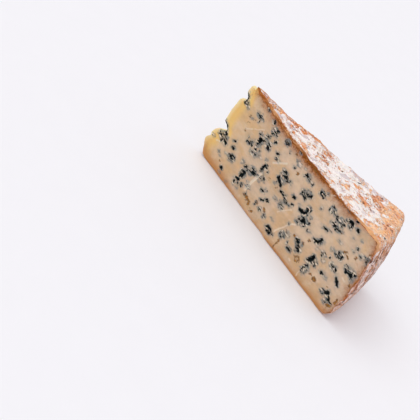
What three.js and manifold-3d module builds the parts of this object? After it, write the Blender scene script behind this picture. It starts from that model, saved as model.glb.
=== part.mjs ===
// A wedge of blue cheese, standing on its lower rind: a narrow sector of a low, wide wheel.
// Millimetres, +Z up along the wheel's axis. The front cut face looks towards -Y, the broken tip
// is at -X and the rind of the wheel's rim at +X. The origin is the centre of the base.
import * as THREE from "three";
import { mergeVertices } from "three/addons/utils/BufferGeometryUtils.js";
import Module from "manifold-3d";

// Driving dimensions, in millimetres and degrees. Distances are from the line where the two cuts
// meet, and heights are from the base.
const HEIGHT = 79;
const RIM_DISTANCE = 193.4; // the rim at its widest, at the front cut
const WIDEST_HEIGHT = 18;
const RIM_LEAN = 11.3; // how far the rim draws in from there to the top
const RIM_TURN = 6.2; // the cuts meet off the wheel's middle, so the rim is this much nearer at the back
const WEDGE_ANGLE = THREE.MathUtils.degToRad(24.6);
const TOP_ROUND = 4.5;
const BASE_ROUND_FRONT = 8; // the rim's lower corner is rounder at the back cut
const BASE_ROUND_BACK = 11;
const BACK_DROP = 2.8; // the top falls away by this much at its corner between rim and back cut
const BACK_DROP_START = 146;
const SWELL_DISTANCE = 80; // the top swells up and out along the back cut, around here
const SWELL_REACH = 18;
const SWELL_HEIGHT = 2.2;
const SWELL_BULGE = 1.3;

// The broken tip: [height, distance]. The paste stands out in lobes, with two deep gaps between them.
const TIP_OUTLINE = [
  [0, 9], [4, 6.5], [10, 2.6], [13.5, 2.3], [18.5, 5.2], [21.5, 4.1], [25, 4.6], [29, 6.8],
  [32, 12], [34.8, 16.8], [38.6, 13], [40.3, 8.3], [52, 7.3], [64.5, 8.1], [67, 13.8], [70, 13.4],
  [73.5, 9.6], [79, 10.2],
];
const TIP_LIFT = 4; // the base curls up this far at the tip
const TIP_LIFT_END = 15;
const TIP_RISE = 4.2; // the top climbs by this much towards the tip
const TIP_RISE_START = 18;
const TIP_RISE_END = 78;
const LIP_DISTANCE = 15; // the top rind has come off the lobe nearer than this, and stands up in a lip
const LIP_HEIGHT = 3.2;
const LIP_LENGTH = 5;
const BARE_DROP = 1.2;
const RIM_RISE = 1.3; // the top climbs a little again next to the rim
const RIM_RISE_START = 150;
const RIM_RISE_END = 172;

// Relief of the surfaces.
const RIND_RELIEF = 0.7;
const RIM_WRINKLE = 0.6;
const CUT_WAVE = 0.45;
const SEAT_DISTANCE = 115; // the base is flat around here, and uneven further out
const SEAT_FLAT = 35;
const SEAT_END = 70;
const STEP_HEIGHT = 0.9; // the paste beside the long crack stands out by this much
const STEP_FOOT = 104; // where that crack meets the base
const STEP_SLOPE = 0.52; // how far it runs on towards the rim for each millimetre up
const STEP_TOP = 34;
const STEP_FADE = 45;

// The surface net: cells from tip to rim, close together at the tip's lobes and at the rim's
// corners, cells across the wedge, and extra heights for the rounded corners.
const TIP_CELLS = 8;
const TIP_SHARE = 0.12;
const MIDDLE_CELLS = 21;
const RIM_CELLS = 5;
const RIM_SHARE = 0.05;
const CELLS_ACROSS = 10;
const CORNER_HEIGHTS = [1.5, 7, 46, 59, 77.5];

// The largest mould pockets of the front face, where the curds left gaps:
// [distance, height, length, width, turn in degrees].
const FRONT_POCKETS = [
  [16, 28.5, 8, 5, 20], [22.5, 26.6, 4.8, 4.6, 0], [35, 23.4, 7, 2.8, 35], [40, 45.8, 8, 2.6, 5],
  [48, 55, 7.5, 3.8, 85], [57, 56.8, 4.8, 3, 10], [55, 71.5, 7, 2.2, 52], [34, 69.4, 7.4, 2, -5],
  [52.6, 14.8, 6.6, 4, 25], [61.5, 30.6, 6, 3.6, 10], [84.5, 55.6, 6.4, 3.4, 15], [85, 46.2, 7.6, 4, 30],
  [93.5, 41, 8.6, 2, 10], [101, 32.4, 9, 3.2, -10], [109.5, 57.8, 8, 2.2, 0], [121, 47, 8, 3.4, 80],
  [124.5, 40, 8, 6, 60], [102.5, 68.8, 6.4, 3, -12], [72, 9.6, 10, 4, -8], [106.5, 8.8, 9.6, 4.4, -5],
  [148, 59.8, 10, 3, -10], [155.5, 73, 5.6, 4.6, -30], [145, 38.8, 6.6, 4.4, 48], [150.4, 23.6, 10, 3.4, 78],
  [132, 24.6, 7, 4, -25], [142.5, 12.8, 7.4, 4.6, -15], [179, 16.8, 6, 3.6, 70], [179, 43, 9.4, 3.2, 0],
  [178.6, 30.2, 7, 2.4, -38], [168, 35.8, 6.8, 3.8, -12],
];
// Needle channels that the cut has laid open: [distance, height, distance, height] of their ends.
const NEEDLE_CHANNELS = [[64.5, 16, 68.5, 37.5], [65.5, 38, 69.6, 46.5], [71.5, 54, 80, 62]];
const NEEDLE_RADIUS = 1.1;
// Smaller pockets on both faces, and the large ones of the back face, follow a seeded rule.
const POCKET_SEED = 20417;
const SMALL_FRONT_POCKETS = 28;
const BACK_POCKETS = 42;
const POCKET_SPACING = 9;
const LARGE_POCKET = 6; // pockets longer than this get the finer net
const PASTE_MARGIN = 8; // no pocket is nearer than this to the rind
const FIRST_POCKET = 26;

const lerp = THREE.MathUtils.lerp;
const smooth = THREE.MathUtils.smoothstep;

// Repeatable random numbers between 0 and 1.
function randomFrom(seed) {
  let state = seed;
  return () => {
    state = (Math.imul(state, 1664525) + 1013904223) >>> 0;
    return state / 4294967296;
  };
}

// Slow, irregular waves between about -1 and 1, for surfaces that were never quite flat.
function wave(a, b, phase) {
  return (
    0.5 * Math.sin(a / 13 + b / 31 + phase) * Math.cos(b / 11 - phase) +
    0.3 * Math.sin(a / 5.9 - b / 8.3 + 2 * phase) +
    0.2 * Math.cos(a / 4.1 + b / 3.7 - phase)
  );
}

// How far the broken tip stands from the line of the cuts at a height.
function tipDistance(height) {
  const next = TIP_OUTLINE.findIndex(([level]) => level >= height);
  if (next <= 0) return TIP_OUTLINE[0][1];
  const [low, lowDistance] = TIP_OUTLINE[next - 1];
  const [high, highDistance] = TIP_OUTLINE[next];
  return lerp(lowDistance, highDistance, (height - low) / (high - low));
}

// The rim's distance at a height: widest near the base and drawn in above, as the wheel has settled.
function rimDistance(height) {
  const above = (height - WIDEST_HEIGHT) / (HEIGHT - WIDEST_HEIGHT);
  return RIM_DISTANCE - RIM_LEAN * above * above;
}

// Rounds the corner of the profile where the rim meets the top or the base.
function roundCorner(distance, up, across) {
  const upper = up > HEIGHT / 2;
  const round = upper ? TOP_ROUND : lerp(BASE_ROUND_FRONT, BASE_ROUND_BACK, across);
  const centreUp = upper ? HEIGHT - round : round;
  const past = distance - (RIM_DISTANCE - round);
  const beyond = up - centreUp;
  if (past <= 0 || beyond > 0 !== upper) return [distance, up];
  const scale = Math.max(past, Math.abs(beyond)) / Math.hypot(past, beyond);
  return [RIM_DISTANCE - round + past * scale, centreUp + beyond * scale];
}

// The swelling of the top along the back cut, from 0 to 1.
function swelling(distance, across) {
  return across * Math.exp(-(((distance - SWELL_DISTANCE) / SWELL_REACH) ** 2));
}

// How far the top surface stands above the plain height.
function topRise(distance, across) {
  const slope = TIP_RISE * (1 - smooth(distance, TIP_RISE_START, TIP_RISE_END));
  const rim = RIM_RISE * smooth(distance, RIM_RISE_START, RIM_RISE_END);
  const past = distance - LIP_DISTANCE;
  const lip = past < 0 ? -BARE_DROP : LIP_HEIGHT * Math.max(0, 1 - past / LIP_LENGTH) * (1 - across);
  const drop = BACK_DROP * smooth(distance, BACK_DROP_START, RIM_DISTANCE) * across * across;
  return slope + rim + lip - drop + SWELL_HEIGHT * swelling(distance, across);
}

// How far the base stands above the table: flat at the seat, uneven around it, curled up at the tip.
function baseRise(distance, x, y) {
  const seat = smooth(Math.abs(distance - SEAT_DISTANCE), SEAT_FLAT, SEAT_END);
  const uneven = RIND_RELIEF * seat * Math.max(0, wave(x, y, 3.3));
  return uneven + TIP_LIFT * (1 - smooth(distance, 0, TIP_LIFT_END));
}

// Step in the front face along the long crack that climbs from the base.
function crackStep(along, height) {
  const past = along - (STEP_FOOT + STEP_SLOPE * height);
  const rise = smooth(past, -1.5, 1.5) * (1 - smooth(past, 4, STEP_FADE));
  return STEP_HEIGHT * rise * (1 - smooth(height, STEP_TOP - 6, STEP_TOP + 8));
}

// A point of the skin from its share of the way from tip to rim, its share of the way from the
// front cut to the back one, and its height.
function skinPoint(share, across, height) {
  const [nominal, up] = roundCorner(share * RIM_DISTANCE, height, across);
  const angle = across * WEDGE_ANGLE;
  const wrinkle = RIM_WRINKLE * smooth(share, 0.9, 1) * wave(angle * 260, up * 0.6, 0.4);
  const rim = rimDistance(up) + wrinkle - RIM_TURN * across;
  const distance = lerp(tipDistance(height), rim, nominal / RIM_DISTANCE);
  const x = distance * Math.cos(angle);
  const y = distance * Math.sin(angle);
  const level = up / HEIGHT;
  const top = topRise(distance, across) + RIND_RELIEF * wave(x, y, 0.9) * smooth(distance, 10, 30);
  const z = up + top * level ** 3 + baseRise(distance, x, y) * (1 - level) ** 3;

  const thick = smooth(distance, 8, 40);
  const front = thick * CUT_WAVE * wave(x, z, 5.1) - crackStep(x, z);
  const back = thick * CUT_WAVE * wave(distance, z, 2.6) + SWELL_BULGE * swelling(distance, level ** 3);
  const shiftFront = front * (1 - across);
  const shiftBack = back * across;
  return new THREE.Vector3(
    x - Math.sin(WEDGE_ANGLE) * shiftBack,
    y + shiftFront + Math.cos(WEDGE_ANGLE) * shiftBack,
    z,
  );
}

// Shares of the way from tip to rim at which the surface net has its columns.
function columnShares() {
  const shares = [];
  for (let i = 0; i < TIP_CELLS; i++) shares.push((TIP_SHARE * i) / TIP_CELLS);
  for (let i = 0; i < MIDDLE_CELLS; i++) {
    shares.push(lerp(TIP_SHARE, 1 - RIM_SHARE, i / MIDDLE_CELLS));
  }
  for (let i = 0; i <= RIM_CELLS; i++) shares.push(lerp(1 - RIM_SHARE, 1, i / RIM_CELLS));
  return shares;
}

// A closed geometry with only its positions, its shared vertices merged.
function bare(geometry) {
  geometry.deleteAttribute("normal");
  geometry.deleteAttribute("uv");
  return mergeVertices(geometry, 1e-4);
}

// The wedge before its pockets are opened: a box net, each of whose points is set on the skin.
function wedgeGeometry() {
  const shares = columnShares();
  const heights = [...TIP_OUTLINE.map(([height]) => height), ...CORNER_HEIGHTS].sort((a, b) => a - b);
  const [along, up] = [shares.length - 1, heights.length - 1];
  const geometry = bare(new THREE.BoxGeometry(along, 1, up, along, CELLS_ACROSS, up));
  const place = geometry.attributes.position;
  for (let i = 0; i < place.count; i++) {
    const share = shares[Math.round(place.getX(i) + along / 2)];
    const height = heights[Math.round(place.getZ(i) + up / 2)];
    const point = skinPoint(share, place.getY(i) + 0.5, height);
    place.setXYZ(i, point.x, point.y, point.z);
  }
  return geometry;
}

// One ragged pocket, lying along X, with its middle in the cut face.
function pocketGeometry(length, width, random) {
  const geometry = bare(new THREE.IcosahedronGeometry(1, length > LARGE_POCKET ? 1 : 0));
  const place = geometry.attributes.position;
  const depth = Math.min(width * 0.75, 2.8);
  for (let i = 0; i < place.count; i++) {
    const ragged = lerp(0.85, 1.2, random());
    place.setXYZ(
      i,
      (place.getX(i) * ragged * length) / 2,
      place.getY(i) * ragged * depth,
      (place.getZ(i) * ragged * width) / 2,
    );
  }
  return geometry;
}

// A channel left by a piercing needle, lying in the cut face.
function channelGeometry([distance, height, endDistance, endHeight]) {
  const [run, rise] = [endDistance - distance, endHeight - height];
  const geometry = bare(new THREE.CylinderGeometry(NEEDLE_RADIUS, NEEDLE_RADIUS, Math.hypot(run, rise), 7));
  geometry.rotateX(Math.PI / 2);
  geometry.rotateY(Math.atan2(run, rise));
  geometry.translate((distance + endDistance) / 2, 0, (height + endHeight) / 2);
  return geometry;
}

// Pockets by the seeded rule, kept apart from each other and inside the paste.
function scatterPockets(count, longest, taken, random) {
  const placed = [];
  for (let tries = 0; placed.length < count && tries < 6000; tries++) {
    const distance = lerp(FIRST_POCKET, RIM_DISTANCE - 2 * PASTE_MARGIN, random());
    const height = lerp(PASTE_MARGIN, HEIGHT - PASTE_MARGIN, random());
    const near = ([d, h]) => Math.hypot(d - distance, (h - height) * 1.3) < POCKET_SPACING;
    if (placed.some(near) || taken.some(near)) continue;
    const length = lerp(2.6, longest, random() * random());
    placed.push([distance, height, length, length * lerp(0.35, 0.75, random()), lerp(-35, 55, random())]);
  }
  return placed;
}

const wasm = await Module();
wasm.setup();

// Hands a closed geometry to manifold-3d.
function solidOf(geometry) {
  const vertProperties = new Float32Array(geometry.attributes.position.array);
  const triVerts = new Uint32Array(geometry.index.array);
  return new wasm.Manifold(new wasm.Mesh({ numProp: 3, vertProperties, triVerts }));
}

// The solids to take out of one cut face, which runs at an angle from the front one.
function faceCutters(pockets, channels, angle, random) {
  const geometries = channels.map(channelGeometry);
  for (const [distance, height, length, width, turn] of pockets) {
    const geometry = pocketGeometry(length, width, random);
    geometry.rotateY(THREE.MathUtils.degToRad(-turn));
    geometry.translate(distance, 0, height);
    geometries.push(geometry);
  }
  return geometries.map((geometry) => solidOf(geometry.rotateZ(angle)));
}

// The finished solid as a three.js geometry, without any crumb that a pocket has cut loose.
function cheeseGeometry() {
  const random = randomFrom(POCKET_SEED);
  const small = scatterPockets(SMALL_FRONT_POCKETS, LARGE_POCKET, FRONT_POCKETS, random);
  const back = scatterPockets(BACK_POCKETS, 2 * LARGE_POCKET, [], random);
  const cutters = [
    ...faceCutters([...FRONT_POCKETS, ...small], NEEDLE_CHANNELS, 0, random),
    ...faceCutters(back, [], WEDGE_ANGLE, random),
  ];
  const opened = solidOf(wedgeGeometry()).subtract(wasm.Manifold.union(cutters));
  const [largest] = opened.decompose().sort((a, b) => b.volume() - a.volume());
  const { vertProperties, triVerts } = largest.getMesh();
  const geometry = new THREE.BufferGeometry();
  geometry.setAttribute("position", new THREE.BufferAttribute(new Float32Array(vertProperties), 3));
  geometry.setIndex(new THREE.BufferAttribute(new Uint32Array(triVerts), 1));
  geometry.computeVertexNormals();
  return geometry;
}

const paste = new THREE.MeshStandardMaterial({ color: 0xe3c9a6, roughness: 0.62, metalness: 0 });
const wedge = new THREE.Mesh(cheeseGeometry(), paste);
wedge.name = "cheese_wedge";

// The origin goes to the centre of the base.
wedge.geometry.computeBoundingBox();
const { min, max } = wedge.geometry.boundingBox;
wedge.position.set(-(min.x + max.x) / 2, -(min.y + max.y) / 2, -min.z);

const cheese = new THREE.Group();
cheese.add(wedge);

export default cheese;
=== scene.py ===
"""A wedge of blue cheese: moist paste with blue-black mould pockets, and a bloomed natural rind."""
import math
import random

import bmesh
import bpy
import numpy as np
from bpy.props import FloatProperty, FloatVectorProperty, IntProperty, PointerProperty
from mathutils import Matrix, Vector, noise


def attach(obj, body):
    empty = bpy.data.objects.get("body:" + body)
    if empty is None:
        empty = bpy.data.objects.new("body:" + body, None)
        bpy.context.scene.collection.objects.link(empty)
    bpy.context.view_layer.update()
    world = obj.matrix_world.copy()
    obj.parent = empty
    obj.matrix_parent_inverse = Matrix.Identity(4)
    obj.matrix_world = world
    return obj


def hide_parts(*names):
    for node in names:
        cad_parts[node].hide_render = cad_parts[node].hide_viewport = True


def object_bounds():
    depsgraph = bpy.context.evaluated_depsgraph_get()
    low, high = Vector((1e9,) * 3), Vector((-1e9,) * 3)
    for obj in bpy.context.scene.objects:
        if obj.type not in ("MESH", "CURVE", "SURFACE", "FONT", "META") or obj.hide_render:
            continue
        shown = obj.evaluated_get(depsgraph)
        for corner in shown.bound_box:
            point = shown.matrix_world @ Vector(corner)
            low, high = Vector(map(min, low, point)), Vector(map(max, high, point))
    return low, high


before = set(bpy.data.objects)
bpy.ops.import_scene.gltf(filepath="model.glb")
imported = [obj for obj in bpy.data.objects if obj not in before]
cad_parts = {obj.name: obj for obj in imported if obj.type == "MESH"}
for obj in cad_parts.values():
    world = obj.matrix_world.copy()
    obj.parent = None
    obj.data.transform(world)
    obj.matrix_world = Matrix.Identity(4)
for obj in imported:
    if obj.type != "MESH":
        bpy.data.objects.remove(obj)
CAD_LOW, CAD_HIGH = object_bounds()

bl_info = {
    "name": "Blue cheese wedge",
    "version": (1, 0, 0),
    "blender": (4, 5, 0),
    "location": "View3D > Sidebar > Cheese",
    "description": "Makes a wedge of blue cheese with mould pockets and a bloomed rind",
    "category": "Object",
}

NODE = "cheese_wedge"
MM = 0.001

# The wedge's own frame, in millimetres: distances from the line where the two cuts meet, heights
# from the base.
HEIGHT = 79
RIM_DISTANCE = 193.4
WIDEST_HEIGHT = 18
RIM_LEAN, RIM_TURN = 11.3, 6.2
WEDGE_ANGLE = math.radians(24.6)
TOP_ROUND = 4.5
BASE_ROUND_FRONT, BASE_ROUND_BACK = 8, 11
BACK_DROP, BACK_DROP_START = 2.8, 146
SWELL_DISTANCE, SWELL_REACH = 80, 18
SWELL_HEIGHT, SWELL_BULGE = 2.2, 1.3
TIP_OUTLINE = [
    (0, 9), (4, 6.5), (10, 2.6), (13.5, 2.3), (18.5, 5.2), (21.5, 4.1), (25, 4.6), (29, 6.8), (32, 12),
    (34.8, 16.8), (38.6, 13), (40.3, 8.3), (52, 7.3), (64.5, 8.1), (67, 13.8), (70, 13.4), (73.5, 9.6),
    (79, 10.2),
]
TIP_GRAIN, BREAK_GRAIN, BREAK_START, BREAK_END = 0.4, 0.7, 8.5, 12.5
TIP_LIFT, TIP_LIFT_END = 4, 15
TIP_RISE, TIP_RISE_START, TIP_RISE_END = 4.2, 18, 78
LIP_DISTANCE, LIP_HEIGHT, LIP_LENGTH, BARE_DROP = 15, 3.2, 5, 1.2
RIM_RISE, RIM_RISE_START, RIM_RISE_END = 1.3, 150, 172
RIND_WAVE, RIM_WRINKLE, CUT_WAVE = 0.7, 0.6, 0.45
SEAT_DISTANCE, SEAT_FLAT, SEAT_END = 115, 35, 70
EDGE_WEAR, EDGE_WIDTH = 0.75, 2.8
STEP_HEIGHT, STEP_FOOT, STEP_SLOPE, STEP_TOP, STEP_FADE = 0.9, 104, 0.52, 34, 45
RIM_SHARE = 0.9  # from this share of the way on, the rim's own relief and wear begin
RIM_OVERHANG = 0.055  # how far the rim's relief passes RIM_DISTANCE
FRONT_OVERHANG = 1.119  # how far the front cut's relief passes its plane
APEX = Vector((CAD_HIGH.x / MM - RIM_DISTANCE - RIM_OVERHANG, CAD_LOW.y / MM + FRONT_OVERHANG, 0))

# Parts that each side of the block is divided into, one subdivision after the other.
PARTS_ALONG = (4, 65)
PARTS_ACROSS = (50,)
PARTS_UP = (2, 56)

# What shows in the front cut. Distances are from the line where the cuts meet and heights from the
# base, in millimetres. Ovals are (distance, height, length, width), and the turned ones have their
# turn in degrees after that.

# Pockets lined with mould.
MOULD_POCKETS = [
    (16.8, 33.5, 3, 3.4), (12.6, 28.8, 4, 2, 20), (17.3, 26.5, 2.2, 3.6), (22.3, 27.2, 4, 3.6),
    (34.8, 24, 5.4, 2.3, 28), (48, 56.6, 3.6, 3.6), (47.8, 53, 1.4, 3), (57, 56.9, 3.4, 2.2),
    (55, 72.2, 5.6, 1.6, 50), (57.4, 70.6, 2, 1.4), (60.6, 65.8, 3.2, 2.2, 45), (49.3, 47, 2.2, 2.2),
    (40.6, 45.8, 6, 1.8, 8), (61.2, 30.6, 3.4, 3.4), (52.4, 14.4, 5, 2, 12), (51.8, 10, 1.8, 4),
    (84, 55.6, 5, 2.8, 15), (82.6, 47.4, 2.6, 3), (94.5, 41, 6.6, 1.3, 8), (106.8, 41.4, 2.2, 1.4, 30),
    (104, 47.4, 4.4, 2, 15), (123.9, 40, 3.6, 4.2), (120, 38.3, 2.4, 1.6, 40), (128.6, 42.4, 2.6, 1.5, 25),
    (119.8, 69.9, 2.8, 2.6), (155, 73.3, 4.4, 3.6), (163, 73.5, 3, 2.2), (165.6, 24.2, 5, 1.6, 5),
    (130.4, 12.9, 4, 1.7), (87.4, 25.2, 4, 2, 12), (33.6, 8.2, 2.8, 2.8), (48, 76.6, 2.8, 2.6),
    (33.8, 69.8, 6, 1.4, -8), (101.8, 69, 4.2, 2), (68, 60.8, 3, 1.8, 20), (71, 56.8, 4, 1.2),
    (131.8, 25, 5, 2.6, -8), (137.6, 19.6, 2.8, 2, -30), (36.8, 80.2, 2.6, 2.8), (78.6, 26.9, 4.4, 1.3, 5),
    (83.5, 21.4, 4.4, 1.2, 35), (31.3, 30.6, 4, 2, 15), (28.8, 35.8, 3.4, 1.3, 30),
    (52.4, 29, 3.6, 1.1, 40), (142.4, 52, 5, 1.5, 12), (109.4, 67.6, 2.2, 1.8), (115.6, 60, 1.8, 2.4),
    (48, 41.8, 3, 1.8), (51.6, 43, 3.6, 1.2, 18), (53.8, 49.2, 1.2, 1.2), (72.6, 35.4, 2, 1.4),
    (186, 46.6, 2.2, 1.4, 40), (147, 78.4, 2.4, 1.5, -20), (158, 78.4, 2.4, 1.6), (150.4, 12.6, 1.6, 2.2),
    (136.4, 69.6, 2.6, 1.3), (168, 46.8, 1.3, 2.8, -15), (165, 44.8, 1.6, 1.2), (44, 60.4, 1.8, 1.3),
    (84, 78.2, 2.6, 1.2), (22.4, 16.6, 1.5, 1.2), (171.6, 36, 2.6, 1.1, -30), (128.6, 60.6, 1.4, 1.8),
    (146.8, 42.4, 1.3, 3.4, 10),
]
# Winding pockets: (width, (distance, height), ...).
MOULD_RUNS = [
    (2.0, (51.4, 23.4), (55.6, 23.7), (53.8, 21.4), (53.8, 18)),
    (1.7, (83, 46.6), (86, 45.8), (88.6, 44)),
    (1.1, (106, 57.4), (109.5, 58.4), (113.6, 57.8)),
    (1.0, (106.4, 54.3), (109.5, 55), (113, 54.4)),
    (1.5, (102.3, 9), (104.3, 10.5), (107, 10.2), (109.6, 8.6), (108, 6.9), (105, 6.8)),
    (1.8, (103, 9.4), (108.6, 9.2)),
    (2.4, (115.4, 44.6), (119.4, 45.2), (121.4, 48), (120.6, 50.4)),
    (1.6, (143.6, 60.9), (147, 59.6), (150.5, 59.2), (153.6, 61.2)),
    (3.0, (151.4, 27.4), (150.4, 23.3), (149.2, 20.6)),
    (1.4, (151.7, 17.8), (150.6, 13.6)),
    (1.6, (176.6, 43.6), (179.4, 42.4), (182.5, 44), (184.4, 43)),
    (1.9, (176.6, 32), (179, 30.4), (181.3, 28)),
    (2.2, (178.6, 15.6), (180.4, 18.6), (180.2, 16.2), (183.9, 14)),
    (1.3, (183.9, 14), (187.2, 12.2)),
    (2.4, (141.8, 37.8), (145.2, 38.6)), (1.6, (145, 38.6), (146.4, 41.4)),
    (1.2, (14.3, 66.8), (13, 69.5), (14.4, 72.4), (11.2, 75.4)),
    (1.7, (17.4, 33.6), (15.6, 37), (12.8, 39.2), (8.8, 41)),
    (1.1, (66.6, 45), (65.4, 41.6), (64.8, 38.6)),
]
# Places where mould has only followed the seams between the crumbs of curd.
MOULD_WEBS = [
    (15.6, 30.8, 12, 9), (17, 67.6, 8, 3.6, -28), (54.4, 60, 9, 4.4), (50, 42.6, 9, 4.6, 10),
    (42.4, 48, 5, 4), (60, 31, 8, 7), (72, 34.6, 6, 4.6, 20), (56, 27.6, 8, 2.4),
    (66.3, 41.8, 4.6, 10, -15), (86, 47.4, 7, 4, -30), (87.6, 52, 11, 2, -8), (100, 38.6, 6, 3.4, -40),
    (104.4, 38.2, 4, 1.8), (100.4, 32.2, 6.4, 4.6, 15), (110, 56.4, 8.4, 4), (121.6, 50.4, 5, 6.5),
    (124.4, 40.4, 9, 8.6), (119.6, 35.6, 4.4, 4), (146.6, 41.4, 5, 6, 20), (165.6, 46.6, 8, 7.4),
    (168.4, 35.6, 7.6, 4.6, -10), (155.8, 36.8, 6, 3), (154.4, 25, 5, 7), (181.4, 45.4, 13, 6),
    (186, 41.6, 3.4, 3.6), (53.4, 71.6, 6.4, 7), (51.6, 63.4, 5.4, 3, 20), (46, 60, 5, 4),
    (69, 74.4, 6.6, 5, 20), (89.8, 70.4, 5, 3.4), (102.6, 69.2, 6.4, 5), (121.8, 69.6, 7, 4.6, -10),
    (136, 67.6, 5.4, 7), (149, 66.6, 8, 6, -15), (155.6, 72.4, 7, 6.6), (179, 61.4, 3.4, 3.6),
    (185, 63, 4, 8, 20), (118.6, 17, 6, 7), (152.6, 14, 5.6, 10), (182.6, 10.4, 4, 5), (176, 14.4, 5, 5),
    (59.6, 14.4, 4, 3.4), (94, 13, 4, 4), (87.4, 13.6, 4, 3), (36, 22.6, 9, 6, 25), (54, 21.4, 7, 8),
    (133.6, 24.6, 9, 5.4, -10), (136.6, 20.4, 6, 5, -30), (112.4, 60.4, 7, 5), (147, 60.2, 10, 4),
    (131, 13, 5.6, 3.4), (105.6, 8.6, 9, 5.6), (49, 54, 6, 8), (57.6, 57, 6, 5), (34, 69.6, 8, 3.4, -8),
    (66, 17.4, 5, 3, 25),
]
# Grey smudges where mould only begins.
MOULD_SMUDGES = [
    (31, 21, 9, 2, -4), (34, 3.8, 3, 2.4), (25.4, 14.6, 2.6, 3, -30), (45.6, 3.6, 2.4, 1.6),
    (57.5, 8, 2.4, 2.6), (47, 29.6, 5, 5, 20), (70, 29.6, 4, 2.4), (63.6, 48.6, 3, 4),
    (56.4, 45.6, 6, 2, 10), (92, 32.4, 5, 2.6, 10), (133.4, 38.4, 5, 2.2, 5), (158.6, 45.2, 4, 3.4),
    (147, 54.6, 4, 2.4, 15), (158.4, 32.2, 5, 3), (171, 24, 2.6, 2), (187, 44, 3, 4), (122, 21.4, 6, 5),
    (102, 17.4, 4, 1.6), (164.8, 66.4, 2.6, 1.8), (170.6, 70.4, 3, 2.2), (108.6, 68, 4, 3),
    (158.8, 55.4, 5, 2.4), (96, 72, 3, 2), (76.4, 70, 3, 2), (157.6, 69.6, 3, 2.4), (148.6, 43, 3, 5, 10),
    (112.6, 46.8, 3, 2), (88.4, 48.4, 4, 3, -20), (62, 20.6, 3, 2), (44.4, 52, 2.4, 3), (8, 22.4, 4, 3),
    (28.6, 62.8, 3, 1.2, 30), (80.6, 30, 4, 1.6, 20), (127.4, 47.4, 2.6, 3), (148.8, 34.8, 2.6, 2),
    (97, 35, 3, 2.4),
]
# Brown hollows with no mould in them.
HOLLOWS = [
    (71.4, 10, 10, 2.8, -8), (75.8, 7.6, 1.6, 2.6, 20), (82, 5.4, 3.6, 1.6, 40), (80.4, 5.8, 1.3, 1.3),
    (82.4, 73.8, 2, 1.6), (93.4, 63.6, 1.8, 2.4), (76.6, 39.8, 1.8, 1.5), (86.4, 39.4, 1.5, 1.4),
    (91.6, 17, 4, 1.2, -35), (81, 15.6, 3.6, 2, -40), (167, 52.6, 3.6, 1.7, 55),
    (171.4, 51.2, 3.2, 1.5, -15), (176.8, 56.4, 1.8, 2.2), (127.2, 25.6, 3.4, 2.2, -10),
    (135.4, 21, 3.2, 3), (136.8, 27.4, 2.6, 1.4, -20), (139.2, 33.2, 2.4, 1.4), (164.4, 14.4, 4.4, 3.4),
    (158.6, 14.8, 2, 1.8, 20), (176.4, 20.6, 1.8, 1.5), (28, 57.6, 2, 1.2), (30.4, 50.4, 1.5, 1.1),
    (26, 62.6, 1.4, 1), (31.4, 63.4, 2.6, 1.3, 20), (120.5, 35.6, 2, 1.8), (188.6, 36.6, 2, 2.4),
    (28, 11.6, 1.4, 1.2), (119.3, 22.5, 2.2, 1.5, -30), (69.4, 73.8, 5, 2, 15), (66.2, 44.6, 2.4, 3, -15),
    (129, 13, 1.5, 2), (168.6, 36.6, 2.6, 1.6), (184.6, 62.4, 2.2, 4, 20), (183.4, 67, 1.4, 2.4),
    (105, 77.6, 5, 1.4, -8), (99, 78, 2.4, 1.2), (189.6, 18, 2.2, 6), (187.4, 10.4, 3, 5, -25),
    (154.6, 61.8, 2, 1.2, 30), (110, 9, 1.2, 2),
]
HOLLOW_RUNS = [
    (1.3, (138.9, 13.6), (141.4, 15.4), (143.6, 13.4), (142, 10.9), (139.4, 12.6)),
    (0.9, (119.4, 12), (119.6, 8), (119, 5), (118.6, 1)),
]
# Pale seams that stand out of the paste, and channels that a needle has left.
PALE_RUNS = [
    (1.2, (121.4, 33), (118, 29.5), (115, 23.5), (112.6, 17), (110.6, 12)),
    (1.0, (153, 25.4), (152.4, 20.5), (154.4, 17)), (0.9, (110, 38), (105, 32), (101.5, 26.5)),
    (0.8, (30, 52), (45, 65)), (0.8, (150.3, 8), (150.5, 3)), (1.2, (13, 21.6), (19, 25)),
    (1.0, (180, 36.4), (183.4, 36)), (0.9, (128, 75.2), (130.4, 77.6)), (1.6, (137, 7.6), (138, 6.8)),
]
CHANNEL_RUNS = [
    (2.5, (64.5, 14), (65.6, 25), (67, 33), (67.8, 37)), (1.6, (70, 52), (80, 61.5)),
]
# How much the paste has browned under the top rind, with painted shade under the rind's edge mixed in, as
# (distance, share).
RIPE_BAND = [
    (13, 0), (16, 0.8), (24, 0.78), (42, 1.05), (60, 1), (78, 1.05), (92, 1.3), (105, 1.1),
    (122, 1.05), (150, 0.95), (162, 0.6), (175, 0.45),
]
# The same under the rim's rind, as (height, share).
RIM_RIPE_BAND = [(0, 0.9), (14, 0.85), (24, 0.65), (32, 0.95), (50, 0.95), (75, 1)]
# How tan the paste is next to the base, as (distance, share), and how far up, as (distance, reach).
FOOT_BAND = [
    (8, 1.5), (20, 1.15), (42, 1.25), (58, 0.7), (80, 0.5), (105, 0.6), (118, 0.85), (165, 0.9), (182, 1.1),
]
FOOT_REACH = [(8, 8), (20, 6), (42, 4.4), (58, 3), (80, 2.4), (105, 2.4), (118, 2.6), (165, 2.4), (182, 3.4)]
# How wide the bare, browned edge of the top rind is, as (distance, width).
BROWN_EDGE = [(16, 4.6), (30, 4), (60, 3.6), (88, 2.6), (120, 1.6), (150, 2.1), (168, 4)]
# The same beside the cuts down the rim, as (height, width).
RIM_BROWN_EDGE = [(0, 0.6), (22, 1), (30, 4.5), (44, 3.5), (54, 1.2), (62, 0.2), (70, 1), (76, 3)]
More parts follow.
